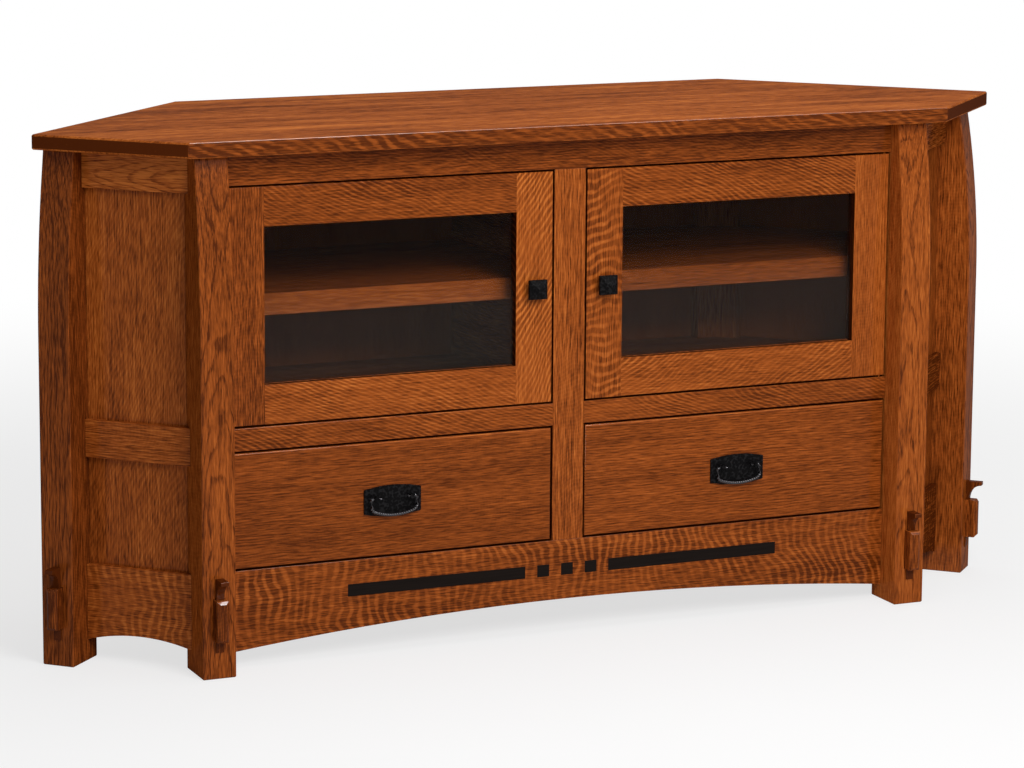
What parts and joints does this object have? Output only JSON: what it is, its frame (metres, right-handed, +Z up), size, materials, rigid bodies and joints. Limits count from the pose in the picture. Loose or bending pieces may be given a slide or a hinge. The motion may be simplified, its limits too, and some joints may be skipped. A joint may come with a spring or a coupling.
{
  "type": "corner cabinet",
  "caption": "Six-sided corner media cabinet in stained wood, with glazed doors over drawers, bowed legs with keyed through tenons, and arched lower rails",
  "frame": {"origin": "on the floor, under the middle of the cabinet's box", "axes": "+Z up, the front faces -Y, +X to the right as seen from the front"},
  "size_m": [1.6132, 0.5252, 0.8],
  "materials": {
    "stained_oak": "satin",
    "panel_oak": "satin",
    "inside_oak": "satin",
    "drawer_wood": "clear lacquer",
    "black_inlay": "satin",
    "black_hardware": "hammered, dark",
    "smoked_glass": "polished"
  },
  "bodies": {
    "case": {"top_board": "stained_oak", "front_top_rail": "stained_oak", "centre_stile": "stained_oak", "mid_rail_left": "stained_oak", "mid_rail_right": "stained_oak", "front_bottom_rail": "stained_oak", "front_leg_left": "stained_oak", "rear_leg_left": "stained_oak", "front_tenon_left": "stained_oak", "rear_tenon_left": "stained_oak", "front_key_left": "stained_oak", "rear_key_left": "stained_oak", "side_top_rail_left": "stained_oak", "side_mid_rail_left": "stained_oak", "side_bottom_rail_left": "stained_oak", "front_leg_right": "stained_oak", "rear_leg_right": "stained_oak", "front_tenon_right": "stained_oak", "rear_tenon_right": "stained_oak", "front_key_right": "stained_oak", "rear_key_right": "stained_oak", "side_top_rail_right": "stained_oak", "side_mid_rail_right": "stained_oak", "side_bottom_rail_right": "stained_oak", "back_panel": "panel_oak", "side_upper_panel_left": "panel_oak", "side_lower_panel_left": "panel_oak", "wall_panel_left": "panel_oak", "side_upper_panel_right": "panel_oak", "side_lower_panel_right": "panel_oak", "wall_panel_right": "panel_oak", "bottom_deck": "inside_oak", "middle_deck": "inside_oak", "centre_partition": "inside_oak", "shelf_left": "inside_oak", "back_leg_left": "inside_oak", "drawer_guide_left": "inside_oak", "shelf_right": "inside_oak", "back_leg_right": "inside_oak", "drawer_guide_right": "inside_oak", "inlay_square_middle": "black_inlay", "inlay_bar_left": "black_inlay", "inlay_square_left": "black_inlay", "inlay_bar_right": "black_inlay", "inlay_square_right": "black_inlay", "door_catch": "black_hardware"},
    "door_left": {"door_left_frame": "stained_oak", "door_left_glass": "smoked_glass", "door_left_knob": "black_hardware"},
    "drawer_left": {"drawer_left_front": "stained_oak", "drawer_left_box": "drawer_wood", "drawer_left_pull_plate": "black_hardware"},
    "bail_left": {"drawer_left_bail": "black_hardware"},
    "door_right": {"door_right_frame": "stained_oak", "door_right_glass": "smoked_glass", "door_right_knob": "black_hardware"},
    "drawer_right": {"drawer_right_front": "stained_oak", "drawer_right_box": "drawer_wood", "drawer_right_pull_plate": "black_hardware"},
    "bail_right": {"drawer_right_bail": "black_hardware"}
  },
  "joints": [
    {"name": "door_left_hinge", "type": "hinge", "parent": "case", "child": "door_left", "pos_m": [-0.548, -0.18562, 0.546], "axis": [0, 0, -1], "range_deg": [0, 90]},
    {"name": "drawer_left_slide", "type": "slide", "parent": "case", "child": "drawer_left", "axis": [0, -1, 0], "range_m": [0, 0.24]},
    {"name": "bail_left_swing", "type": "hinge", "parent": "drawer_left", "child": "bail_left", "pos_m": [-0.2915, -0.20092, 0.2425], "axis": [-1, 0, 0], "range_deg": [0, 95]},
    {"name": "door_right_hinge", "type": "hinge", "parent": "case", "child": "door_right", "pos_m": [0.548, -0.18562, 0.546], "axis": [0, 0, 1], "range_deg": [0, 90]},
    {"name": "drawer_right_slide", "type": "slide", "parent": "case", "child": "drawer_right", "axis": [0, -1, 0], "range_m": [0, 0.24]},
    {"name": "bail_right_swing", "type": "hinge", "parent": "drawer_right", "child": "bail_right", "pos_m": [0.2915, -0.20092, 0.2425], "axis": [-1, 0, 0], "range_deg": [0, 95]}
  ]
}
